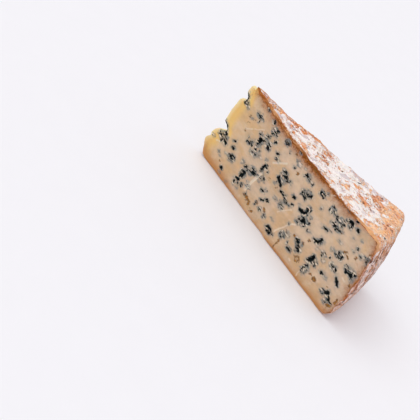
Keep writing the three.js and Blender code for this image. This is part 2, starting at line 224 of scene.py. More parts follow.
# Ovals on the top, as (x, y, length, width, turn), with x along the front cut: clear orange spots,
# rust that shows between crumbs of bloom, thick bloom, lilac stains and dark specks.
TOP_ORANGE = [
    (80, 19, 4, 3, -3), (64, 23, 9, 6, 59), (72, 36, 7, 4, 38), (81, 40, 13, 4, 29), (107, 15, 5, 2.6, -11),
    (104, 32, 3, 2, 41), (125, 35, 8, 3.6, 15), (127, 38, 5, 3, 18), (123, 20, 5, 2, 65),
    (134, 12, 4, 3, 24), (135, 30, 6, 2.4, 3), (142, 28, 7, 2.6, 11), (149, 28, 4, 2, 12), (148, 49, 10, 4),
    (150, 39, 5, 3, 46), (153, 59, 5, 5, 34), (92, 45, 6, 2.4, 21), (80, 7, 7, 2, 28), (55, 19, 8, 7),
    (41, 13, 3, 9, 15), (62, 9, 3, 4, 20), (48, 25, 8, 3, 25), (34, 9, 5, 2, 30), (69, 29.3, 36, 3.4, 24),
]
TOP_RUST = [
    (93, 20, 14, 9, 16), (79, 40, 18, 5, 21), (123, 24, 7, 4, 60), (141, 28, 18, 6), (143, 46, 17, 10, -2),
    (170, 29, 11, 5, 26), (83, 6, 15, 4, -14), (140, 54, 10, 6, 61), (121, 15, 6, 4, 31),
    (62, 24, 12, 9, 20), (40, 13, 5, 11, 15), (50, 28, 12, 4, 25), (72, 32, 10, 6, 25), (24, 6, 8, 4, 10),
    (46, 17, 28, 9, 25), (90, 30, 14, 6, 25), (33, 8, 24, 10, 22), (60, 14, 14, 5, 22),
]
TOP_BLOOM = [
    (144, 13, 15, 8, 19), (126, 7, 14, 6, 43), (109, 24, 22, 9, 48), (162, 16, 11, 6, 48),
    (158, 41, 7, 4, 60), (84, 11, 9, 5, 53), (70, 15, 10, 6, -13), (126, 55, 13, 6, 11), (152, 31, 5, 3, 1),
    (100, 43, 12, 6, 20),
]
TOP_STAINS = [
    (68, 19, 9, 4, 50), (102, 5, 7, 3.4, 12), (88, 38, 5, 5, 34), (113, 31, 10, 6, 46),
    (138, 57, 16, 6, 24), (125, 49, 8, 5, 11), (93, 6, 6, 3, 30), (113, 7, 3, 2, -5), (152, 29, 4, 3, 51),
    (30, 9, 26, 7, 20), (34, 4, 3, 6), (116, 49, 18, 6, 25), (24, 3, 12, 4, 10), (57, 12, 12, 5, 24),
    (44, 6, 8, 4, 10),
]
TOP_SPECKS = [
    (122, 43, 5, 2.4, 66), (108, 33, 1.5, 1.5, 54), (81, 9, 1.4, 1.4, 40), (122, 14, 1.4, 1.4, 50),
    (141, 57, 2.4, 2, 20), (140, 52, 1.4, 1.4, 46), (142, 26, 2.2, 1.3, 33), (102, 29, 1.4, 1.4, 54),
    (73, 34, 2, 1.4, 46), (164, 60, 2.4, 1.7, -11), (173, 31, 3.4, 1.8, 1), (168, 31, 4, 1.4, 50),
    (119, 19, 1.2, 1, 49), (178, 13.6, 2, 3.6, -30), (92, 43, 1.4, 1.6),
]
# Ovals down the rim, as (distance along the rim from the front cut, height, length, width, turn).
RIM_BLOOM = [
    (5, 70, 6, 6), (4.6, 60, 5, 12, -10), (8.4, 48.4, 6, 10, 10), (14.5, 38, 6, 9), (7, 24.5, 8, 9),
    (24, 58, 7, 12), (38, 44, 9, 7), (31, 68, 8, 6), (52, 58, 8, 12), (46, 26, 8, 8), (66, 46, 7, 12),
    (62, 66, 9, 5), (72, 28, 6, 9), (28, 16, 9, 5),
]
RIM_SPECKS = [
    (13.7, 60.5, 5, 1.8, 50), (22.5, 62.5, 2.8, 1.8, 40), (1, 66, 2.4, 5), (6.4, 34, 4, 1.4, -30),
    (24, 40, 3.4, 1.4, -30), (27, 26, 3, 1.2, -30), (4, 50, 1.2, 4), (38, 70, 4, 1, -20),
    (10, 72, 1.4, 4, 20), (52, 44, 3, 1.2, 40), (66, 62, 2.4, 1.2, 70), (45, 20, 1.4, 4),
]


class CheeseShape(bpy.types.PropertyGroup):
    """Sizes of the relief, all of it finer than the wedge's own form."""

    pocket_depth: FloatProperty(
        name="Pocket depth", description="Depth of the widest mould pockets",
        default=2.8 * MM, min=0, max=5 * MM, unit="LENGTH",
    )
    rind_relief: FloatProperty(
        name="Rind relief", description="Height of the rind's bumps and pits",
        default=0.45 * MM, min=0, max=2 * MM, unit="LENGTH",
    )
    paste_relief: FloatProperty(
        name="Paste relief", description="Height of the crumbly grain in the cuts",
        default=0.16 * MM, min=0, max=1 * MM, unit="LENGTH",
    )
    seed: IntProperty(name="Seed", description="Another spread of small pockets", default=7, min=0)


def shade(name, description, *rgb):
    """A colour that a user can change, given as it looks on screen."""
    return FloatVectorProperty(
        name=name, description=description, subtype="COLOR", size=3, min=0, max=1,
        default=[screen_to_light(value) for value in rgb],
    )


def screen_to_light(value):
    """Turns one 0-255 screen value into the linear share of light that a material takes."""
    share = value / 255
    return share / 12.92 if share <= 0.04045 else ((share + 0.055) / 1.055) ** 2.4


class CheeseColours(bpy.types.PropertyGroup):
    """Colours of the paste, the mould and the rind."""

    paste: shade("Paste", "Clean paste", 222, 194, 164)
    paste_warm: shade("Warm paste", "Paste in riper patches", 217, 180, 138)
    paste_grey: shade("Grey paste", "Paste that the mould has tinted", 202, 178, 156)
    # The tip's colour is partly the thin paste's own yellow and partly painted glow of light shining through
    # it.
    tip: shade("Tip", "Thin paste at the broken tip", 242, 199, 118)
    # The band's colours stand both for browned paste under the rind and for painted shade under the rind's
    # edge.
    ripe: shade("Ripe band", "Paste just under the rind", 124, 66, 18)
    ripe_tan: shade("Tan band", "Paste a little farther from the rind", 180, 100, 12)
    # The tip's edge colour is paler still: the paste's colour with painted glow where the paste is thinnest.
    tip_edge_and_glow: shade("Tip's edge", "Paste at the very edge of the broken tip", 250, 228, 176)
    foot: shade("Foot", "Tan paste next to the base", 196, 134, 74)
    crust: shade("Crust", "Rind where the cut shows it edge on", 190, 108, 40)
    # Pale crumbs, seams and channels, painted lighter in part as highlights on raised curd edges.
    crumb: shade("Crumb", "Pale crumbs and seams", 246, 230, 208)
    haze: shade("Haze", "Blue-grey halo of a pocket", 100, 119, 124)
    mould: shade("Mould", "Dark mould in a pocket", 16, 21, 23)
    mould_dust: shade("Mould dust", "Grey-green dust on the mould", 62, 78, 76)
    hollow: shade("Hollow", "Floor of a pocket without mould", 200, 140, 62)
    hollow_edge: shade("Hollow edge", "Dark edge of such a pocket", 112, 74, 40)
    bloom: shade("Bloom", "White bloom of the rind", 250, 243, 241)
    rind: shade("Rind", "Orange rind under the bloom", 230, 146, 90)
    orange: shade("Orange spots", "Clear orange spots of the top", 226, 122, 52)
    rind_golden: shade("Golden rind", "Paler, golden parts of the rind", 253, 196, 145)
    rim: shade("Rim", "Pinkish brown rind of the rim", 172, 102, 66)
    rim_tan: shade("Tan rim", "Orange-tan patches of the rim", 226, 154, 100)
    rim_foot: shade("Rim's foot", "Beige rind at the foot of the rim", 230, 180, 146)
    rim_bloom: shade("Rim bloom", "Pinkish bloom of the rim", 255, 231, 223)
    stain: shade("Stain", "Lilac-grey bloom", 200, 182, 188)
    rust: shade("Rust", "Rusty blotches", 176, 88, 44)
    speck: shade("Speck", "Dark specks and pits", 70, 38, 26)


class CheeseStage(bpy.types.PropertyGroup):
    """The camera's lens, the lamps and the floor."""

    lens: FloatProperty(name="Lens", description="Focal length", default=68.2, min=10, unit="CAMERA")
    key: FloatProperty(name="Key lamp", description="Strength of the soft lamp", default=1.35, min=0)
    sky: FloatProperty(name="Sky", description="Strength of the light all round", default=0.64, min=0)
    floor: shade("Floor", "Pale floor", 246, 244, 249)


def smooth(value, low, high):
    """A soft step from 0 at low to 1 at high."""
    share = np.clip((value - low) / (high - low), 0, 1)
    return share * share * (3 - 2 * share)


def lerp(low, high, share):
    return low + (high - low) * share


def read(table, places):
    """The values of a table of (place, value) at places, straight between its rows."""
    return np.interp(places, *zip(*table))


def wave(a, b, phase):
    """Slow, irregular waves between about -1 and 1."""
    return (
        0.5 * np.sin(a / 13 + b / 31 + phase) * np.cos(b / 11 - phase)
        + 0.3 * np.sin(a / 5.9 - b / 8.3 + 2 * phase)
        + 0.2 * np.cos(a / 4.1 + b / 3.7 - phase)
    )


def grain(points, size, phase=0.0):
    """Smooth random values between about -1 and 1, as fine as size, at points in millimetres."""
    scaled = np.atleast_2d(points) / size + phase * 17.3
    return np.array([noise.noise(Vector(p)) for p in scaled])


def rim_distance(height):
    above = (height - WIDEST_HEIGHT) / (HEIGHT - WIDEST_HEIGHT)
    return RIM_DISTANCE - RIM_LEAN * above * above


def rounded_corner(distance, up, across):
    """Moves points near the rim's corners onto their rounding."""
    upper = up > HEIGHT / 2
    radius = np.where(upper, TOP_ROUND, lerp(BASE_ROUND_FRONT, BASE_ROUND_BACK, across))
    centre_up = np.where(upper, HEIGHT - radius, radius)
    past = distance - (RIM_DISTANCE - radius)
    beyond = up - centre_up
    inside = (past > 0) & ((beyond > 0) == upper)
    scale = np.maximum(past, np.abs(beyond)) / np.maximum(np.hypot(past, beyond), 1e-6)
    return (
        np.where(inside, RIM_DISTANCE - radius + past * scale, distance),
        np.where(inside, centre_up + beyond * scale, up),
    )


def swelling(distance, across):
    return across * np.exp(-(((distance - SWELL_DISTANCE) / SWELL_REACH) ** 2))


def top_rise(distance, across):
    """How far the top stands above the plain height: up at the tip and at the rim, swollen at the back."""
    slope = TIP_RISE * (1 - smooth(distance, TIP_RISE_START, TIP_RISE_END))
    rim = RIM_RISE * smooth(distance, RIM_RISE_START, RIM_RISE_END)
    past = distance - LIP_DISTANCE
    lip = np.where(past < 0, -BARE_DROP, LIP_HEIGHT * np.maximum(0, 1 - past / LIP_LENGTH) * (1 - across))
    drop = BACK_DROP * smooth(distance, BACK_DROP_START, RIM_DISTANCE) * across * across
    return slope + rim + lip - drop + SWELL_HEIGHT * swelling(distance, across)


def base_rise(distance, x, y):
    """How far the base stands off the table: flat at the seat, curled up at the tip."""
    seat = smooth(np.abs(distance - SEAT_DISTANCE), SEAT_FLAT, SEAT_END)
    uneven = RIND_WAVE * seat * np.maximum(0, wave(x, y, 3.3))
    return uneven + TIP_LIFT * (1 - smooth(distance, 0, TIP_LIFT_END))


def crack_step(along, height):
    """The paste beside the long crack stands out a little."""
    past = along - (STEP_FOOT + STEP_SLOPE * height)
    rise = smooth(past, -1.5, 1.5) * (1 - smooth(past, 4, STEP_FADE))
    return STEP_HEIGHT * rise * (1 - smooth(height, STEP_TOP - 6, STEP_TOP + 8))


def skin_points(share, across, height):
    """The wedge's skin in its own frame, from each point's share of the way from tip to rim, its
    share of the way from the front cut to the back one, and its height."""
    nominal, up = rounded_corner(share * RIM_DISTANCE, height, across)
    angle = across * WEDGE_ANGLE
    outer = smooth(share, RIM_SHARE, 1)
    wrinkle = RIM_WRINKLE * outer * wave(angle * 260, up * 0.6, 0.4)
    rim = rim_distance(up) + wrinkle - RIM_TURN * across
    tip = read(TIP_OUTLINE, height)
    along_tip = np.column_stack([height, across * 3, height * 0])
    broken = smooth(tip, BREAK_START, BREAK_END)
    tip = tip + TIP_GRAIN * grain(along_tip, 1.7) + BREAK_GRAIN * broken * grain(along_tip, 0.9, 2)
    distance = lerp(tip, rim, nominal / RIM_DISTANCE)
    gap = np.minimum(across, 1 - across) * WEDGE_ANGLE * distance
    at = np.column_stack([distance, gap * 0.5, height])
    rough = grain(at, 2.3, 14) + 0.6 * grain(at, 4.7, 15)
    wear = EDGE_WEAR * (1 - smooth(gap, 0, EDGE_WIDTH)) * (1 + rough * lerp(1, 0.5, across))
    distance = distance - wear * outer
    wear = wear * smooth(distance, 14, 30)
    x, y = distance * np.cos(angle), distance * np.sin(angle)
    level = up / HEIGHT
    top = top_rise(distance, across) - wear + RIND_WAVE * wave(x, y, 0.9) * smooth(distance, 10, 30)
    z = up + top * level**3 + (base_rise(distance, x, y) + 0.6 * wear) * (1 - level) ** 3
    thick = smooth(distance, 8, 40)
    front = (thick * CUT_WAVE * wave(x, z, 5.1) - crack_step(x, z)) * (1 - across)
    back = (thick * CUT_WAVE * wave(distance, z, 2.6) + SWELL_BULGE * swelling(distance, level**3)) * across
    return np.column_stack(
        [x - math.sin(WEDGE_ANGLE) * back, y + front + math.cos(WEDGE_ANGLE) * back, z]
    )


TINY = 1e-4  # as near to an end of a share as makes no difference
FAR = 9.0  # farther than this from a mark, nothing shows
ORANGE_START = 158  # from here to the rim the top is orange
ORANGE_DEPTH = 6  # deeper than this in the orange part, nothing changes
WEB_DEPTH, SMUDGE_DEPTH = 0.33, 0.8  # how far a web or a smudge stays from a pocket's black
BASE_SHIFT = 40.0  # the lower rind has the marks that the top would have this much farther on
SPREAD_ALONG, SPREAD_UP = (24, RIM_DISTANCE - 10), (6, HEIGHT - 5)  # where scattered ovals can be


def oval_distance(places, ovals):
    """Distance in millimetres from each place to the edge of the nearest oval, negative inside."""
    nearest = np.full(len(places), FAR)
    for distance, height, length, width, *turn in ovals:
        angle = math.radians(turn[0]) if turn else 0
        offset = places - (distance, height)
        u = offset @ (math.cos(angle), math.sin(angle))
        v = offset @ (-math.sin(angle), math.cos(angle))
        a, b = length / 2, width / 2
        radius = np.hypot(u / a, v / b)
        slope = np.maximum(np.hypot(u / a**2, v / b**2), 1e-6)
        edge = np.maximum((radius - 1) * radius / slope, -min(a, b))
        nearest = np.minimum(nearest, edge)
    return nearest


def run_distance(places, runs):
    """The same for runs: lines of a given width through their points."""
    nearest = np.full(len(places), FAR)
    for width, *points in runs:
        for start, end in zip(points, points[1:]):
            start, along = np.array(start), np.subtract(end, start)
            share = np.clip((places - start) @ along / (along @ along), 0, 1)
            gap = np.linalg.norm(places - start - share[:, None] * along, axis=1) - width / 2
            nearest = np.minimum(nearest, gap)
    return nearest


def scattered_ovals(rng, count, clusters, spread, shortest, longest):
    """Ovals gathered in clusters, most of them lying along the wheel."""
    ovals = []
    while len(ovals) < count:
        centre = rng.choice(clusters)
        distance = rng.gauss(centre[0], spread)
        height = rng.gauss(centre[1], spread * 0.7)
        along, up = SPREAD_ALONG, SPREAD_UP
        if not (along[0] < distance < along[1] and up[0] < height < up[1]):
            continue
        length = lerp(shortest, longest, rng.random() ** 2)
        width = max(1.1, length * rng.uniform(0.3, 0.8))
        ovals.append((distance, height, length, width, rng.gauss(10, 25)))
    return ovals


def bent_places(places, phase):
    """Places moved a little, so that what is drawn at them has ragged edges, and how they moved."""
    at = np.column_stack([places, np.full(len(places), phase)])
    bend = np.column_stack([
        grain(at, 2.6, 1) + 0.6 * grain(at, 1.4, 2), 0.8 * grain(at, 2.6, 3) + 0.5 * grain(at, 1.4, 4),
    ])
    return places + bend, bend


def cut_fields(places, marks, phase):
    """Signed distances in millimetres, at places on a cut, to each kind of mark on it."""
    ragged, bend = bent_places(places, phase)
    at = np.column_stack([places, np.full(len(places), phase)])
    rough = grain(at, 1.9, 5)
    pockets = np.minimum(oval_distance(ragged, marks["pockets"]), run_distance(ragged, marks["runs"]))
    webs = oval_distance(ragged, marks["webs"]) + 1.1 * grain(at, 2.3, 7)
    smudges = oval_distance(ragged, marks["smudges"])
    hollows = oval_distance(ragged, marks["hollows"])
    return {
        "mould": np.minimum.reduce([
            pockets + 0.4 * rough,
            np.maximum(webs, 0) + WEB_DEPTH,
            np.maximum(smudges, 0) + SMUDGE_DEPTH + 0.3 * rough,
        ]),
        "hollow": np.minimum(hollows, run_distance(ragged, marks["hollow_runs"])) + 0.3 * grain(at, 1.7, 6),
        "seam": run_distance(places + 0.6 * bend, marks["seams"]),
        "channel": run_distance(places + 0.3 * bend, marks["channels"]),
    }


def rind_fields(skin, share, level, distance):
    """Signed distances in millimetres, on the rind, to its orange spots, its orange part and its
    other marks."""
    shift = np.where(level > 0.5, 0, BASE_SHIFT)[:, None]
    places = bent_places(skin[:, :2], 3.3)[0] + shift
    spots = oval_distance(places, TOP_ORANGE)
    edge = ORANGE_START + 7 * grain(skin * (0.6, 1, 1), 11, 16) + 3 * grain(skin, 4, 17)
    fields = {
        "spots": spots,
        "orange": np.maximum(np.minimum(spots, edge - distance), -ORANGE_DEPTH),
        "rust": oval_distance(places, TOP_RUST),
        "bloom": oval_distance(places, TOP_BLOOM),
        "stain": oval_distance(places, TOP_STAINS),
        "speck": oval_distance(skin[:, :2] + shift, TOP_SPECKS),
    }
    rim = share > 1 - TINY
    around = np.arctan2(skin[rim, 1], skin[rim, 0]) * RIM_DISTANCE
    down = np.column_stack([around, skin[rim, 2]])
    fields["speck"][rim] = oval_distance(down, RIM_SPECKS)
    fields["bloom"][rim] = oval_distance(bent_places(down, 5.9)[0], RIM_BLOOM)
    return fields


def curd_crumbs(places, phase):
    """How much a crumb of curd fills a pocket at each place, from 0 to 1."""
    at = np.column_stack([places[:, 0] / 2.1, places[:, 1] / 1.7, np.full(len(places), phase)])
    nearest = np.array([noise.voronoi(Vector(p))[0][0] for p in at])
    return 1 - smooth(nearest, 0.1, 0.45)


def deselect_all():
    if bpy.context.object and bpy.context.object.mode != "OBJECT":
        bpy.ops.object.mode_set(mode="OBJECT")
    bpy.ops.object.select_all(action="DESELECT")


def select_in_edit(block, elements, chosen):
    """Selects exactly the edges or faces that chosen says, in edit mode."""
    bpy.ops.mesh.select_mode(type="FACE" if elements == "faces" else "EDGE")
    bpy.ops.mesh.select_all(action="DESELECT")
    net = bmesh.from_edit_mesh(block.data)
    for element in getattr(net, elements):
        if chosen(element):
            element.select_set(True)
    bmesh.update_edit_mesh(block.data)


def is_paste(face):
    """The two cuts, which face along Y on the block, and the broken tip at its low X end."""
    return abs(face.normal.y) > 0.5 or face.normal.x < -0.5


def drawn_block(materials):
    """A block with its cuts and rind told apart, its cut edges sharp, and its net drawn."""
    deselect_all()
    bpy.ops.mesh.primitive_cube_add(size=1)
    block = bpy.context.object
    for material in materials:
        block.data.materials.append(material)
    bpy.ops.object.mode_set(mode="EDIT")
    select_in_edit(block, "faces", lambda face: not is_paste(face))
    block.active_material_index = 1
    bpy.ops.object.material_slot_assign()
    select_in_edit(block, "edges", lambda edge: len({is_paste(f) for f in edge.link_faces}) == 2)
    bpy.ops.mesh.mark_sharp()
    for axis, parts in enumerate((PARTS_ALONG, PARTS_ACROSS, PARTS_UP)):
        for count in parts:
            select_in_edit(
                block, "edges", lambda edge: abs((edge.verts[0].co - edge.verts[1].co)[axis]) > 1e-5
            )
            bpy.ops.mesh.subdivide(number_cuts=count - 1)
    bpy.ops.mesh.select_all(action="SELECT")
    bpy.ops.mesh.faces_shade_smooth()
    bpy.ops.object.mode_set(mode="OBJECT")
    return block


def wandering(rng, distance, height, stride=3.2):
    """Four points that wander away from a place."""
    heading = rng.uniform(-0.4, 1.0)
    points = [(distance, height)]
    for _ in range(3):
        heading += rng.uniform(-0.8, 0.8)
        distance += stride * math.cos(heading)
        height += stride * math.sin(heading)
        points.append((distance, height))
    return points


FRONT, BACK = 0, 1


def cut_marks(side, seed):
    """What shows in one cut: the listed marks of the front, or a seeded spread on the back."""
    rng = random.Random(seed + side)
    if side == FRONT:
        clusters = [oval[:2] for oval in MOULD_WEBS]
        return {
            "pockets": MOULD_POCKETS + scattered_ovals(rng, 80, clusters, 4, 0.7, 1.4),
            "runs": MOULD_RUNS, "webs": MOULD_WEBS, "smudges": MOULD_SMUDGES, "hollows": HOLLOWS,
            "hollow_runs": HOLLOW_RUNS, "seams": PALE_RUNS, "channels": CHANNEL_RUNS,
        }
    centres = [(lerp(28, 182, (i + rng.random()) / 34), rng.uniform(12, 71)) for i in range(34)]
    pockets = scattered_ovals(rng, 84, centres, 6, 1.6, 5)
    hollows = scattered_ovals(rng, 26, [(100, 40)], 50, 1.3, 5)
    seams = [(0.9, *wandering(rng, rng.uniform(40, 170), rng.uniform(15, 60), 9)) for _ in range(4)]
    return {
        "pockets": pockets + scattered_ovals(rng, 90, centres, 9, 0.8, 1.6),
        "runs": [(rng.uniform(1, 1.9), *wandering(rng, *oval[:2])) for oval in pockets[::7]],
        "webs": scattered_ovals(rng, 54, [oval[:2] for oval in pockets], 2, 4, 9),
        "smudges": scattered_ovals(rng, 44, centres, 10, 2.4, 8),
        "hollows": hollows, "hollow_runs": [], "seams": seams,
        "channels": [(2.0, (106, 8), (108, 40)), (1.5, (70, 40), (78, 62))],
    }


MOULD_CRUMB, HOLLOW_CRUMB = 0.3, 0.8  # how much a crumb of curd fills a pocket or a hollow
HOLLOW_SHARE = 0.75  # a hollow's depth as a share of a pocket's
POCKET_SLOPE, HOLLOW_SLOPE = 1.2, 1.0  # how far from the edge the floor takes to sink
TROUGH_DEPTH, RIDGE_HEIGHT, BRIM_HEIGHT = 0.9, 0.4, 0.2  # of channels, seams and pockets' edges
THIN_SHARE = 0.3  # no pocket is deeper than this share of the wedge's thickness
BACK_BROWNING = 0.45  # the back cut's upper edge has browned less than the front's
PIT_DEPTH = 1.2  # of the rind's pits, as a share of its relief


def pitted_cut(side, places, points, deepest, shape):
    """The fields of one cut, and how deep it is sunk, at places on it and their points in space."""
    fields = cut_fields(places, cut_marks(side, shape.seed), side * 31.7)
    mould, hollow = fields["mould"], fields["hollow"]
    near = np.minimum(mould, hollow) < 0.6
    crumbs = curd_crumbs(places[near], side * 7.7)
    mould[near] += MOULD_CRUMB * crumbs
    hollow[near] += HOLLOW_CRUMB * crumbs
    full = shape.pocket_depth / MM
    sunk = full * (1 - np.exp(np.minimum(mould + 0.1, 0) / POCKET_SLOPE))
    bare = HOLLOW_SHARE * full * (1 - np.exp(np.minimum(hollow + 0.1, 0) / HOLLOW_SLOPE))
    trough = TROUGH_DEPTH * (1 - smooth(fields["channel"], -1.0, 0.3))
    ridge = RIDGE_HEIGHT * (1 - smooth(fields["seam"], -0.5, 0.7))
    brim = BRIM_HEIGHT * (1 - smooth(np.abs(mould - 0.5), 0, 0.5))
    rough = shape.paste_relief / MM * (grain(points, 1.6, 8) + 0.7 * grain(points, 3.9, 9))
    return fields, np.maximum.reduce([sunk, bare, trough]) * deepest - ridge - brim + rough


def raise_rind(skin, on_rind, share, level, distance, shape):
    """Gives the rind its bumps and pits along its normal, and none that would lift it off its seat."""
    here = np.flatnonzero(on_rind)
    at = skin[here]
    bumps = grain(at * (0.6, 1.0, 1.0), 6, 11) + 0.7 * grain(at * (0.7, 1, 1), 2.7, 12)
    pits = -PIT_DEPTH * smooth(grain(at, 3.4, 13), 0.35, 0.6)
    relief = shape.rind_relief / MM * (bumps + pits)
    rimness = smooth(share[here], 1 - 3 / RIM_DISTANCE, 1)
    upward = np.where(level[here] > 0.5, 1, -1) * (1 - rimness)
    seat = (level[here] < TINY) & (rimness < 1)
    relief = np.where(seat, np.minimum(0, relief), relief)
    radial = at[:, :2] / np.maximum(distance[here], 1)[:, None]
    skin[here, 2] += relief * upward * smooth(distance[here], 8, 25)
    skin[here, :2] += radial * (relief * rimness)[:, None]


# How far in from a cut's upper and lower edge, from the rim (as a share of the way) and from the
# tip the pockets come to their full depth.
ROOM_AT_EDGES, ROOM_AT_RIM, ROOM_AT_TIP = 2.2, 0.012, 2.5
RIPE_DEPTH, RIM_RIPE_DEPTH = 6, 5  # how far under the rind the browning and its painted shade reach
CRUST_TOP, CRUST_RIM, CRUST_FOOT = 0.2, 0.9, 0.25  # the rind shows thicker on top, thinner elsewhere
THIN_DEPTH, THIN_START, THIN_END = 9, 16, 32  # how far from the tip the paste looks thin, taking the tip's yellow and its painted glow
THIN_EDGE, THIN_EDGE_DEPTH = 0.5, 1.5  # how much thinner it looks at the broken edge itself, where the paler edge colour paints more glow
PALE_SHARE, PALE_START, PALE_END = 0.26, 20, 80  # how far from the tip the paste is still paler, with a little of the tip's yellow and painted glow
RIM_START = 0.96  # the share of the way from tip to rim where the rim's rind begins


def dress_skin(wedge, shape):
    """Sets the block's net on the wedge's skin, with its pockets and relief, and keeps on it the
    fields that the materials read."""
    mesh = wedge.data
    unit = np.empty(len(mesh.vertices) * 3)
    mesh.vertices.foreach_get("co", unit)
    share, across, level = (unit.reshape(-1, 3) + 0.5).T
    skin = skin_points(share, across, level * HEIGHT)
    distance = np.hypot(skin[:, 0], skin[:, 1])
    on_cut = (across < TINY) | (across > 1 - TINY) | (share < TINY)
    on_rind = (level < TINY) | (level > 1 - TINY) | (share > 1 - TINY)

    # Room for a pocket: none at the edges of a cut, and little where the wedge is thin.
    tip = read(TIP_OUTLINE, level * HEIGHT)
    edge_gap = np.minimum(level, 1 - level) * HEIGHT
    room = smooth(edge_gap, 0, ROOM_AT_EDGES) * smooth(1 - share, 0, ROOM_AT_RIM)
    room = room * smooth(distance - tip, 0, ROOM_AT_TIP)
    sine, cosine = math.sin(WEDGE_ANGLE), math.cos(WEDGE_ANGLE)
    deepest = np.minimum(1, distance * sine * THIN_SHARE * MM / shape.pocket_depth)
    fields = {name: np.full(len(skin), FAR) for name in ("mould", "hollow", "seam", "channel")}
    inward = np.zeros_like(skin)
    halves = ((FRONT, across < 0.5, (0, 1, 0)), (BACK, across >= 0.5, (sine, -cosine, 0)))
    for side, half, direction in halves:
        here = np.flatnonzero(on_cut & half)
        places = np.column_stack([distance[here], skin[here, 2]])
        found, depth = pitted_cut(side, places, skin[here], deepest[here], shape)
        for name, values in found.items():
            fields[name][here] = values
        flat = across[here] * (1 - across[here]) < 1e-6
        inward[here] = (depth * room[here] * flat)[:, None] * np.array(direction)
    skin += inward
    raise_rind(skin, on_rind, share, level, distance, shape)
    placed = (skin + np.array(APEX)) * MM
    placed = np.clip(placed, np.array(CAD_LOW), np.array(CAD_HIGH))
    mesh.vertices.foreach_set("co", placed.ravel())

    # How far each place is from the rind and from the cuts, and how the paste and the rind differ there.
    height = skin[:, 2]
    top_gap = HEIGHT + top_rise(distance, across) - height
    rim_gap = rim_distance(height) - RIM_TURN * across - distance
    cut_gap = np.minimum(across, 1 - across) * WEDGE_ANGLE * distance
    bare = np.where(level > 0.5, LIP_DISTANCE - distance, -FAR)
    # The band under the rind: browning of the paste, and painted shade under the rind's edge.
    ripe = np.maximum(
        read(RIPE_BAND, distance) * np.exp(-np.maximum(top_gap, 0) / RIPE_DEPTH),
        read(RIM_RIPE_BAND, height) * np.exp(-np.maximum(rim_gap, 0) / RIM_RIPE_DEPTH),
    )
    ripe[on_rind & (across > 0.5)] *= BACK_BROWNING
    foot_reach = read(FOOT_REACH, distance)
    brown_edge = np.where(share > 0.97, read(RIM_BROWN_EDGE, height), read(BROWN_EDGE, distance))
    brown_edge = np.where((across > 0.5) & (level > 0.5), BACK_BROWNING * brown_edge, brown_edge)
    # Closeness to the thin tip: where the paste takes the tip's yellow and its painted glow of light shining
    # through.
    thin = np.exp(-np.maximum(distance - tip - 3, 0) / THIN_DEPTH)
    thin *= 1 - smooth(distance, THIN_START, THIN_END)
    thin += THIN_EDGE * np.exp(-np.maximum(distance - tip, 0) / THIN_EDGE_DEPTH)
    under_top = top_gap - CRUST_TOP + np.maximum(bare, 0) * FAR  # the bare lip of the tip has no rind
    fields |= rind_fields(skin, share, level, distance)
    fields |= {
        "ripe": ripe,
        "foot": read(FOOT_BAND, distance) * np.exp(-np.maximum(height - 1.8, 0) / foot_reach),
        "bare": bare,
        "rind_gap": np.minimum.reduce([under_top, rim_gap + CRUST_RIM, height + CRUST_FOOT]),
        "thin": np.maximum(thin, PALE_SHARE * (1 - smooth(distance, PALE_START, PALE_END))),
        "cut_gap": cut_gap,
        "edge_gap": cut_gap - brown_edge,
        "rim_down": smooth(share, RIM_START, 1) * smooth(HEIGHT - height, 1, 12),
    }
    for name, values in fields.items():
        attribute = mesh.attributes.new(name, "FLOAT", "POINT")
        attribute.data.foreach_set("value", np.clip(values, -FAR, FAR).astype(np.float32))
    mesh.update()


class Value:
    """A value in a node tree. Its sums, differences and products are math nodes."""

    def __init__(self, graph, socket):
        self.graph = graph
        self.socket = socket

    def __add__(self, other):
        return self.graph.math("ADD", self, other)

    def __sub__(self, other):
        return self.graph.math("SUBTRACT", self, other)

    def __rsub__(self, other):
        return self.graph.math("SUBTRACT", other, self)

    def __mul__(self, other):
        return self.graph.math("MULTIPLY", self, other)


